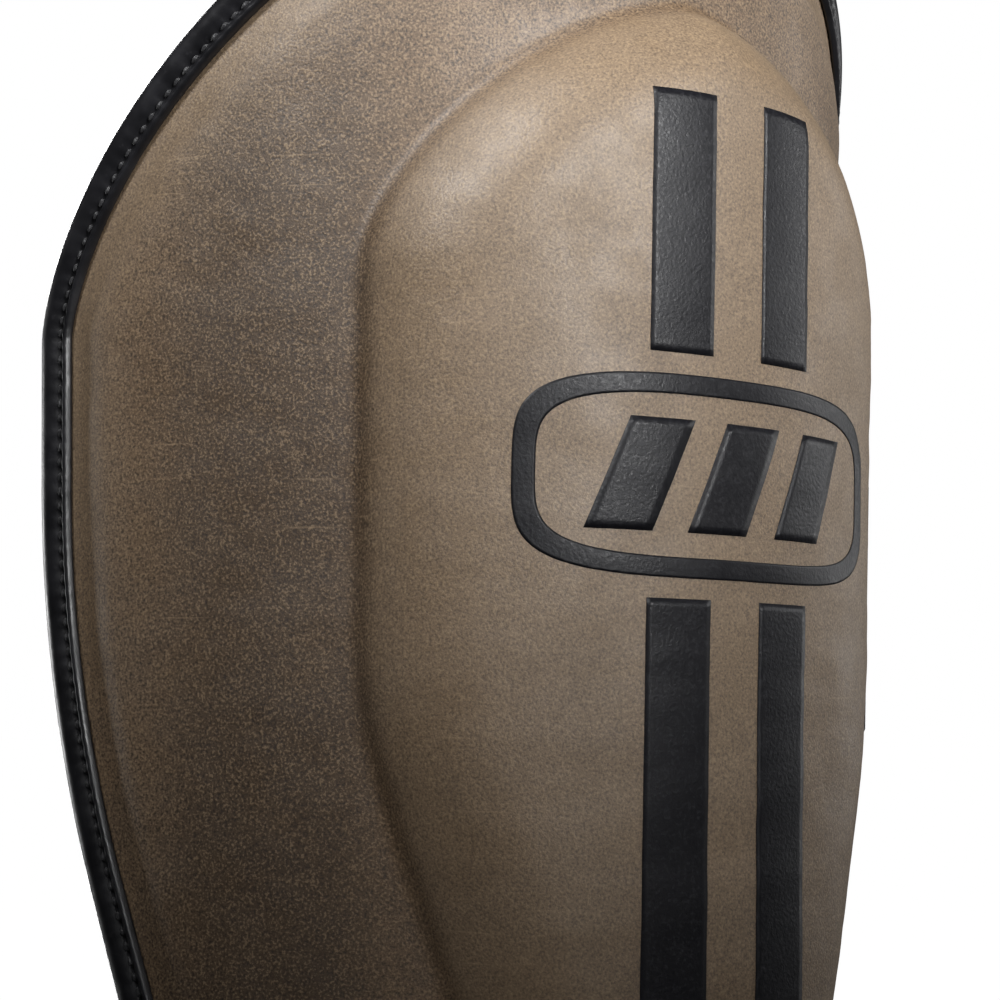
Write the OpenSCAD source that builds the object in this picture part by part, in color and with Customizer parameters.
// Forearm guard: a moulded leather panel with a domed ridge, a bound rim and two elastic straps.
// Millimetres. +Z runs up the forearm from the wrist edge (Z = 0) to the elbow end.
// The crown of the guard faces -Y, and +X is on the right as seen from the front.
// Origin: on the forearm's axis, level with the wrist edge.

/* [Panel] */
// Half width of the panel, measured along its curve
half_girth = 92.4; // [88:0.2:96]
// Height at which the rounded elbow end begins
elbow_start = 189; // [185:1:193]
// Height of the rounded elbow end
elbow_height = 75; // [70:1:80]
// Height of the rounded wrist end
wrist_height = 30; // [24:1:36]
// Narrowing towards the wrist, per millimetre of height
narrowing = 0.348; // [0.3:0.01:0.36]
// Radius of the crown of the curve
crown_radius = 65.5; // [62:0.5:70]
// Radius of the flatter wings
wing_radius = 114; // [105:1:125]
// Distance from the centre line to where the wings begin
wing_start = 59; // [56:0.5:62]
// Shrink of the curve from the elbow to the wrist
taper = 0.082; // [0.06:0.01:0.1]

/* [Ridge] */
// Height of the ridge above the panel
ridge_rise = 11; // [9:0.1:11.4]
// Half width of the ridge
ridge_half = 46; // [44:0.5:47]
// Width of the ridge's sloping flank
ridge_flank = 16; // [12:0.5:18]
// Width of the bevel at the ridge's elbow end
ridge_bevel = 15; // [12:0.5:18]

/* [Layers] */
// Thickness of the leather cover
cover = 1.3; // [1.1:0.1:1.4]
// Thickness of the base foam at the middle
foam = 7.5; // [6:0.5:8]
// Thickness of the lining
lining = 1.0; // [0.8:0.1:1.2]

/* [Straps] */
// Thickness of the elastic
strap = 2.2; // [2:0.1:2.3]
// Bulge of the upper strap across the back
upper_bulge = 20; // [16:1:24]
// Bulge of the lower strap across the back
lower_bulge = 28; // [24:1:30]

/* [Hidden] */
top_z = elbow_start + elbow_height;
crown_d = 60;      // depth of the panel's crown in front of the origin
scale_d = 43;      // depth about which the curve shrinks towards the wrist
scale_z = 174;     // height at which the curve has its full size
blend_z = 142;     // height around which the sides start to narrow
blend_h = 27;      // half height of that blend
elbow_p = 1.55;    // fullness of the elbow end
wrist_p = 2.6;     // fullness of the wrist end
rim = 4.7;         // width of panel that lies under the binding
rim_drop = 1.2;    // depth of the panel's face under the binding
gap = 0.1;         // clearance between stacked layers
foam_rim = 0.7;    // thickness of the foam where the binding folds over it
side_wall = 0.3;   // clearance between the layers' edges and the binding
r2d = 180 / PI;

// Ridge outline: full width between two heights, a rounded top and a long tapering foot
ridge_low = 141;
ridge_foot = 15;
ridge_high = 197;
ridge_top = 236;
ridge_high_p = 1.55;
ridge_low_p = 1.05;
ridge_dome = 0.42; // share of the height lost from the centre to the flank
ridge_q = 2;       // how quickly the flank rises: 1 is a straight slope
ridge_valley = 3;  // width over which the flank eases out of the valley at its foot
ridge_fade = 78;   // height over which the ridge rises out of the panel at its foot

// Strap levels, and the wing positions at which their hook and loop patches begin and end
upper = [128, 185];
lower = [42, 76];
upper_patch = [54, 82];
lower_patch = [27, 46];
tab_o = 3.7;       // height of a closed tab's middle above the panel
root_o = -8.5;     // depth of a strap's root behind the panel's face
root_out = 7.9;    // distance of a strap's root beyond the rim
turn_out = 3;      // distance at which a strap turns round the rim

function smooth(u) = let(c = min(1, max(0, u))) c * c * (3 - 2 * c);
function ramp(u, m) = u < -m ? 0 : u > m ? u : (u + m) * (u + m) / (4 * m);
function mix(a, b, u) = a + (b - a) * u;

// A point on the panel: s along the curve from the centre line, height z, o outwards from the face
function turn(a) = (a < wing_start ? a / crown_radius
    : wing_start / crown_radius + (a - wing_start) / wing_radius) * r2d;
function plan_x(a) = a < wing_start ? crown_radius * sin(turn(a))
    : crown_radius * sin(turn(wing_start)) + wing_radius * (sin(turn(a)) - sin(turn(wing_start)));
function plan_d(a) = a < wing_start ? crown_d - crown_radius * (1 - cos(turn(a)))
    : crown_d - crown_radius * (1 - cos(turn(wing_start)))
      - wing_radius * (cos(turn(wing_start)) - cos(turn(a)));
function at(s, z, o) = let(a = abs(s), g = s < 0 ? -1 : 1, k = 1 - taper * (scale_z - z) / scale_z)
    [g * (plan_x(a) * k + sin(turn(a)) * o),
     -(scale_d + (plan_d(a) - scale_d) * k + cos(turn(a)) * o), z];

// Outline of the panel, e inside its edge
function side(z) = half_girth - narrowing * ramp(blend_z - z, blend_h);
function end_u(z, e) = z > elbow_start ? (z - elbow_start) / (elbow_height - e)
    : z < wrist_height ? (wrist_height - z) / (wrist_height - e) : 0;
function end_p(z) = z > elbow_start ? elbow_p : wrist_p;
function half(z, e = 0) = let(p = end_p(z))
    (side(z) - e) * pow(max(0, 1 - pow(min(1, end_u(z, e)), p)), 1 / p);

// Distance inside a rounded outline, from the shares u across and v along, half width w and end height h
function inside(u, v, w, h, p) = let(r = max(1e-6, pow(pow(u, p) + pow(v, p), 1 / p)),
    gu = pow(u / r, p - 1) / w, gv = pow(v / r, p - 1) / h) (1 - r) / max(0.005, sqrt(gu * gu + gv * gv));
function edge(s, z) = inside(abs(s) / side(z), end_u(z, 0), side(z),
    z > elbow_start ? elbow_height : wrist_height, end_p(z));

// Rise of the ridge above the panel's face
function ridge(s, z) = let(hi = z > ridge_low, u = abs(s) / ridge_half,
    h = hi ? ridge_top - ridge_high : ridge_low - ridge_foot,
    v = hi ? max(0, z - ridge_high) / h : (ridge_low - z) / h,
    e = inside(u, v, ridge_half, h, hi ? ridge_high_p : ridge_low_p),
    b = hi ? mix(ridge_flank, ridge_bevel, smooth(v * 1.5)) : ridge_flank)
    ridge_rise * (1 - ridge_dome * u * u) * (1 - pow(1 - min(1, max(0, e) / b), ridge_q))
        * (0.25 + 0.75 * smooth(e / ridge_valley)) * smooth((z - ridge_foot + 12) / ridge_fade);
function ridge_width(z, h) = let(hi = z > ridge_low, p = hi ? ridge_high_p : ridge_low_p,
    v = hi ? max(0, z - ridge_high) / (ridge_top - ridge_high - h)
           : (ridge_low - z) / (ridge_low - ridge_foot - h))
    (ridge_half - h) * pow(max(0, 1 - pow(min(1, v), p)), 1 / p);

// Levels of the layers, outwards from the panel's face
function drop(e) = rim_drop * (1 - smooth((e - rim) / 7));
function face_o(s, z) = ridge(s, z) - drop(edge(s, z));
function sheet_o(e) = -drop(e) - cover - 3 * gap;
function sheet_in(e) = sheet_o(e) - 0.8 - 1.2 * smooth(e / 14);
function foam_o(e) = sheet_in(e) - gap;
function foam_in(e) = foam_o(e) - foam_rim - (foam - foam_rim) * smooth((e - 6) / 20);
function lining_o(e) = foam_in(e) - gap;
function lining_in(e) = lining_o(e) - lining;
function anchor_o(e) = min(-7.2, lining_in(e) - 4 * gap);
function anchor_in(e) = anchor_o(e) - 2;

// A closed skin between two grids of points, each row nu + 1 points long
module slab(nu, nv, outer, inner) {
    n = nu + 1;
    m = len(outer);
    polyhedron(concat(outer, inner), concat(
        [for (j = [0:nv - 1], i = [0:nu - 1]) let(q = i + j * n) [q, q + n, q + n + 1, q + 1]],
        [for (j = [0:nv - 1], i = [0:nu - 1]) let(q = m + i + j * n) [q, q + 1, q + n + 1, q + n]],
        [for (i = [0:nu - 1]) [i, i + 1, m + i + 1, m + i]],
        [for (i = [0:nu - 1]) let(q = nv * n + i) [q + 1, q, m + q, m + q + 1]],
        [for (j = [0:nv - 1]) let(q = j * n) [q + n, q, m + q, m + q + n]],
        [for (j = [0:nv - 1]) let(q = j * n + nu) [q, q + n, m + q + n, m + q]]));
}

// A closed loop of profiles, each k points long
module loop(k, points) {
    n = len(points) / k;
    polyhedron(points, [for (i = [0:n - 1], j = [0:k - 1])
        let(a = i * k, b = ((i + 1) % n) * k, t = (j + 1) % k) [a + j, b + j, b + t, a + t]]);
}

// A short straight stitch between two points
module stitch(a, b, r = 0.35) {
    v = b - a;
    translate(a) rotate([0, acos(v[2] / norm(v)), atan2(v[1], v[0])]) cylinder(h = norm(v), r = r, $fn = 8);
}

// Heights of the rows of a layer that ends e inside the rim
function rows(e, wrist_n, side_n, elbow_f) = concat(
    [for (i = [0:wrist_n - 1]) let(f = 2 + 88 * i / wrist_n)
        wrist_height - (wrist_height - e) * pow(cos(f), 2 / wrist_p)],
    [for (i = [0:side_n]) mix(wrist_height, elbow_start, i / side_n)],
    [for (f = elbow_f) elbow_start + (elbow_height - e) * pow(sin(f), 2 / elbow_p)]);
fine = [6, 12, 18, 23, 27, 30, 32, 34, 36, 38, 40, 42, 44, 47, 52, 58, 65, 73, 81, 88];
coarse = [10, 20, 30, 40, 50, 60, 70, 80, 88];

// Shares of the half width at which the cover and the layers under it have their columns
cover_shares = [0, 0.065, 0.13, 0.21, 0.29, 0.355, 0.41, 0.465, 0.52, 0.6, 0.69, 0.78, 0.855, 0.91, 0.955, 1];
inner_shares = [0, 0.16, 0.32, 0.47, 0.6, 0.71, 0.8, 0.87, 0.93, 0.965, 1];

module layer(shares, zs, outer_o, inner_o) {
    n = len(shares) - 1;
    function grid(level) = [for (z = zs, i = [-n:n]) let(s = half(z, side_wall) * sign(i) * shares[abs(i)])
        at(s, z, level(s, z))];
    slab(2 * n, len(zs) - 1, grid(outer_o), grid(inner_o));
}
module inner_layer(outer_o, inner_o) layer(inner_shares, rows(side_wall, 5, 12, coarse),
    function(s, z) outer_o(edge(s, z)), function(s, z) inner_o(edge(s, z)));

module front_cover() color([0.5, 0.43, 0.37])
    layer(cover_shares, rows(side_wall, 6, 20, fine), function(s, z) face_o(s, z),
        function(s, z) face_o(s, z) - cover);

module impact_sheet() color([0.2, 0.2, 0.22]) inner_layer(function(e) sheet_o(e), function(e) sheet_in(e));
module base_foam() color([0.3, 0.3, 0.32]) inner_layer(function(e) foam_o(e), function(e) foam_in(e));
module back_lining() color([0.08, 0.08, 0.09]) inner_layer(function(e) lining_o(e), function(e) lining_in(e));

// Foam block under the ridge of the cover, inset so that its edge keeps some thickness
module ridge_pad() {
    inset = 6.5;
    low = ridge_foot + inset + 20;
    high = ridge_top - inset;
    zs = concat([for (i = [0:16]) mix(low, ridge_high, i / 16)],
        [for (i = [1:8]) ridge_high + (high - ridge_high) * pow(sin(87 * i / 8), 2 / ridge_high_p)]);
    n = 10;
    function grid(top) = [for (z = zs, i = [-n:n]) let(s = ridge_width(z, inset) * i / n)
        at(s, z, top ? max(0.3, ridge(s, z) * 0.96 - 1.1) - cover : -cover - gap)];
    color([0.35, 0.35, 0.37]) slab(2 * n, len(zs) - 1, grid(true), grid(false));
}

// Outline points [s, z] once round the rim, from the middle of the wrist edge up the right side
half_outline = concat(
    [for (i = [0:9]) let(f = 90 * i / 10) [side(wrist_height * (1 - pow(cos(f), 2 / wrist_p)))
        * pow(sin(f), 2 / wrist_p), wrist_height * (1 - pow(cos(f), 2 / wrist_p))]],
    [for (i = [0:22]) let(z = mix(wrist_height, elbow_start, i / 22)) [side(z), z]],
    [for (i = [1:14]) let(f = 90 * i / 14) [half_girth * pow(max(0, cos(f)), 2 / elbow_p),
        elbow_start + elbow_height * pow(sin(f), 2 / elbow_p)]]);
function mirrored(p) = [for (i = [len(p) - 2:-1:1]) [-p[i][0], p[i][1]]];
outline = concat(half_outline, mirrored(half_outline));
function inward(i) = let(n = len(outline), a = outline[(i + n - 1) % n], b = outline[(i + 1) % n], v = b - a)
    [-v[1], v[0]] / norm(v);

// Sweep a profile of [distance inside the rim, level] points round the rim
module rim_sweep(profile) loop(len(profile),
    [for (i = [0:len(outline) - 1], q = profile)
        let(c = outline[i] + inward(i) * q[0]) at(c[0], c[1], q[1])]);

module edge_binding() color([0.1, 0.1, 0.11]) rim_sweep([
    [4.1, -0.95], [4.25, -0.35], [3.8, 0.05], [3.2, -0.45], [2.6, -0.45], [1.9, 0.1], [0.9, 0.3],
    [-0.4, -0.15], [-1.4, -1.6], [-1.6, -3.5], [-1.3, -5.4], [-0.3, -6.55], [1.4, -6.9], [4.3, -6.8], [6.4, -6.55],
    [6.4, -6.2], [0.1, -6.2], [0.1, -0.95]]);

module binding_stitches_front() color([0.16, 0.16, 0.17])
    rim_sweep([[2.67, -0.4], [2.67, -0.05], [3.13, -0.05], [3.13, -0.4]]);

module binding_stitches_back() color([0.16, 0.16, 0.17])
    rim_sweep([[4.95, -6.95], [4.95, -7.05], [4.35, -7.05], [4.35, -6.95]]);

// Printed marks: thin flat shapes laid on the ridge, [across, up] in millimetres from a centre
print_o = [0.28, 0.54];   // levels of a mark's two faces above the cover
module print_patch(nu, nv, shape) {
    function grid(o) = [for (j = [0:nv], i = [0:nu]) let(c = shape(i / nu, j / nv),
        s = c[0] / (1 - taper * (scale_z - c[1]) / scale_z)) at(s, c[1], face_o(s, c[1]) + o)];
    slab(nu, nv, grid(print_o[1]), grid(print_o[0]));
}
stripe = [3.5, 11.6];
module stripe_bar(sign, z0, z1) color([0.07, 0.07, 0.08]) print_patch(3, 12,
    function(u, v) [sign < 0 ? -mix(stripe[1], stripe[0], u) : mix(stripe[0], stripe[1], u), mix(z0, z1, v)]);
module stripe_upper_left() stripe_bar(-1, 185.7, 220);
module stripe_upper_right() stripe_bar(1, 185.7, 220);
module stripe_lower_left() stripe_bar(-1, 66, 154.4);
module stripe_lower_right() stripe_bar(1, 66, 154.4);

// Plain mark between the stripes: a rounded frame round three leaning bars
mark_z = 170;
mark = [27, 13];
module emblem() {
    n = 40;
    function round_box(f, w) = let(c = cos(f), q = sin(f), m = pow(pow(c, 4) + pow(q, 4), 0.25))
        [c / m * (mark[0] - w), mark_z + q / m * (mark[1] - w)];
    function lay(c, o) = let(s = c[0] / (1 - taper * (scale_z - c[1]) / scale_z))
        at(s, c[1], face_o(s, c[1]) + o);
    color([0.1, 0.1, 0.11]) loop(4, [for (i = [0:n - 1], w = [[2.6, 0], [2.6, 1], [0, 1], [0, 0]])
        lay(round_box(360 * (i + 0.5) / n, w[0]), print_o[w[1]])]);
    color([0.1, 0.1, 0.11]) for (k = [-1:1]) print_patch(3, 4,
        function(u, v) [12.4 * k + mix(-4, 4, u) + mix(-2.6, 2.6, v), mark_z + mix(-7.2, 7.2, v)]);
}

// Strap paths, at height z: the root behind the left rim and the turn round the right rim
function share(b, z) = (z - b[0]) / (b[1] - b[0]);
function root_s(b, z) = b == upper ? -root_out - mix(side(b[0]), side(b[1]), share(b, z))
    : -root_out - side(b[0]);
function turn_s(b) = side(b[1]) + turn_out;
function root_at(b, z) = at(root_s(b, z), z, root_o);
function turn_at(b, z) = at(turn_s(b), z, tab_o);
function bulge(b) = b == upper ? upper_bulge : lower_bulge;
// A point and the outward direction on the arc across the back, d millimetres from the middle of it
function arc(b, z, d, o) = let(p = root_at(b, z), q = turn_at(b, z), c = norm(q - p) / 2, h = bulge(b),
    r = (c * c + h * h) / (2 * h), m = (p + q) / 2, x = (q - p) / norm(q - p), y = [-x[1], x[0], 0],
    f = d / r * r2d, centre = m + y * (h - r)) concat(centre + (x * sin(f) + y * cos(f)) * (r + o), []);
function arc_half(b, z) = let(p = root_at(b, z), q = turn_at(b, z), c = norm(q - p) / 2, h = bulge(b),
    r = (c * c + h * h) / (2 * h)) r * asin(c / r) / r2d;

// Half thicknesses of a band that starts with a half-round end on its hinge line
lead = [[-1, 0.06], [-0.93, 0.37], [-0.71, 0.7], [-0.38, 0.925], [0, 1]];
function along(length, n) = concat([for (p = lead) [p[0] * strap / 2, p[1] * strap / 2]],
    [for (i = [1:n]) [length * i / n, strap / 2]]);
module band(b, columns, where) {
    zs = [for (i = [0:2]) mix(b[0], b[1], i / 2)];
    function grid(g) = [for (z = zs, c = columns) where(z, c[0], g * c[1])];
    slab(len(columns) - 1, 2, grid(1), grid(-1));
}
module near_span(b) color([0.09, 0.09, 0.1]) band(b, along(arc_half(b, b[0]) - 1.6, 7),
    function(z, a, o) arc(b, z, (a * arc_half(b, z) / arc_half(b, b[0])) - arc_half(b, z), -o));
module far_span(b) color([0.09, 0.09, 0.1]) band(b, along(arc_half(b, b[0]) - 1.6, 7),
    function(z, a, o) arc(b, z, a * arc_half(b, z) / arc_half(b, b[0]), -o));
module tab(b, s_end) color([0.09, 0.09, 0.1]) band(b, along(turn_s(b) - s_end, 8),
    function(z, a, o) at(turn_s(b) - a, z, tab_o - o));

// A patch on the panel between two positions along the curve and two heights
module patch(s0, s1, z0, z1, nu, nv, outer_o, inner_o) {
    function grid(level) = [for (j = [0:nv], i = [0:nu]) let(s = mix(s0, s1, i / nu), z = mix(z0, z1, j / nv))
        at(s, z, level(s, z))];
    slab(nu, nv, grid(outer_o), grid(inner_o));
}

// Strap end behind the left rim, its reinforcement patch and its box of stitches
module anchor(b) {
    zs = [for (i = [0:3]) mix(b[0], b[1], i / 3)];
    n = 9;
    function grid(inner) = [for (z = zs, i = [0:n]) let(s = mix(root_s(b, z) + 1.6, -side(z) + 28, i / n),
        e = side(z) + s) at(s, z, inner ? anchor_in(e) : anchor_o(e))];
    color([0.09, 0.09, 0.1]) slab(n, 3, grid(false), grid(true));
}
module anchor_patch(b) {
    zs = [for (i = [0:3]) mix(b[0] + 1.5, b[1] - 1.5, i / 3)];
    n = 6;
    function grid(o) = [for (z = zs, i = [0:n]) let(e = mix(9, 27, i / n))
        at(e - side(z), z, anchor_in(e) + o)];
    color([0.14, 0.14, 0.15]) slab(n, 3, grid(-0.45), grid(-1.65));
}
module anchor_stitches(b) {
    function on(e, z) = at(e - side(z), z, anchor_in(e) - 1.65 - 0.45);
    lo = b[0] + 4;
    hi = b[1] - 4;
    rows_n = floor((hi - lo) / 4);
    color([0.3, 0.3, 0.31]) {
        for (i = [0:rows_n - 1], e = [11.5, 24.5]) let(z = mix(lo, hi, i / rows_n))
            stitch(on(e, z), on(e, z + 2.6));
        for (i = [0:2], z = [lo, hi]) let(e = 12.8 + i * 4) stitch(on(e, z), on(e + 2.6, z));
        for (i = [1:rows_n - 2], g = [0, 1])
            let(z = mix(lo, hi, i / rows_n), f = (i + 0.2) / rows_n, e = mix(12.5, 22.5, g == 0 ? f : 1 - f))
            if (i != floor(rows_n / 2) || g == 0) stitch(on(e, z), on(e + (g == 0 ? 0.6 : -0.6), z + 2.2));
    }
}

// Loop fabric on the right wing and the stitches round it
module loop_patch(b, p) color([0.07, 0.07, 0.08]) patch(p[0], p[1], b[0] + 1, b[1] - 1, 6, 6,
    function(s, z) face_o(s, z) + 1.2, function(s, z) face_o(s, z) + 2 * gap);
module loop_stitches(b, p) {
    function on(s, z) = at(s, z, face_o(s, z) + 1.2 + 0.4);
    n = floor((b[1] - b[0] - 6) / 4);
    m = floor((p[1] - p[0] - 4) / 4);
    color([0.3, 0.3, 0.31]) {
        for (i = [0:n - 1], s = [p[0] + 1.2, p[1] - 1.2]) let(z = b[0] + 3.2 + 4 * i)
            stitch(on(s, z), on(s, z + 2.6));
        for (i = [0:m - 1], z = [b[0] + 2.2, b[1] - 2.2]) let(s = p[0] + 2.8 + 4 * i)
            stitch(on(s, z), on(s + 2.6, z));
    }
}

// Hook fabric under the tab, the tape sewn over its end and two rows of stitches
module hook_patch(b, p) color([0.05, 0.05, 0.06]) patch(p[0] + 2.4, p[1] - 2.4, b[0] + 4, b[1] - 4, 6, 4,
    function(s, z) tab_o - strap / 2 - gap, function(s, z) 1.5);
module pull_tab(b, p) color([0.13, 0.13, 0.14]) patch(p[0] - 2, p[0] + 12, b[0] + 9, b[1] - 9, 5, 3,
    function(s, z) tab_o + strap / 2 + 0.6, function(s, z) tab_o + strap / 2 + gap);
module tab_stitches(b, p) {
    function on(s, z) = at(s, z, tab_o + strap / 2 + (s < p[0] + 12 ? 0.87 : 0.3));
    n = floor((b[1] - b[0] - 22) / 4);
    m = floor((b[1] - b[0] - 6) / 4);
    color([0.3, 0.3, 0.31]) {
        for (i = [0:n - 1], s = [p[0] + 8, p[0] + 11]) let(z = b[0] + 11 + 4 * i)
            stitch(on(s, z), on(s, z + 2.6), 0.22);
        for (i = [0:m - 1]) let(z = b[0] + 3 + 4 * i) stitch(on(p[1] - 3, z), on(p[1] - 3, z + 2.6), 0.22);
    }
}

module upper_strap_anchor() anchor(upper);
module lower_strap_anchor() anchor(lower);
module upper_anchor_patch() anchor_patch(upper);
module lower_anchor_patch() anchor_patch(lower);
module upper_anchor_stitches() anchor_stitches(upper);
module lower_anchor_stitches() anchor_stitches(lower);
module upper_loop_patch() loop_patch(upper, upper_patch);
module lower_loop_patch() loop_patch(lower, lower_patch);
module upper_loop_stitches() loop_stitches(upper, upper_patch);
module lower_loop_stitches() loop_stitches(lower, lower_patch);
module upper_strap_near() near_span(upper);
module lower_strap_near() near_span(lower);
module upper_strap_far() far_span(upper);
module lower_strap_far() far_span(lower);
module upper_strap_tab() tab(upper, upper_patch[0] + 1);
module lower_strap_tab() tab(lower, lower_patch[0] + 1);
module upper_hook_patch() hook_patch(upper, upper_patch);
module lower_hook_patch() hook_patch(lower, lower_patch);
module upper_pull_tab() pull_tab(upper, upper_patch);
module lower_pull_tab() pull_tab(lower, lower_patch);
module upper_tab_stitches() tab_stitches(upper, upper_patch);
module lower_tab_stitches() tab_stitches(lower, lower_patch);

front_cover();
ridge_pad();
impact_sheet();
base_foam();
back_lining();
edge_binding();
binding_stitches_front();
binding_stitches_back();
stripe_upper_left();
stripe_upper_right();
stripe_lower_left();
stripe_lower_right();
emblem();
upper_strap_anchor();
lower_strap_anchor();
upper_anchor_patch();
lower_anchor_patch();
upper_anchor_stitches();
lower_anchor_stitches();
upper_loop_patch();
lower_loop_patch();
upper_loop_stitches();
lower_loop_stitches();
upper_strap_near();
lower_strap_near();
upper_strap_far();
lower_strap_far();
upper_strap_tab();
lower_strap_tab();
upper_hook_patch();
lower_hook_patch();
upper_pull_tab();
lower_pull_tab();
upper_tab_stitches();
lower_tab_stitches();
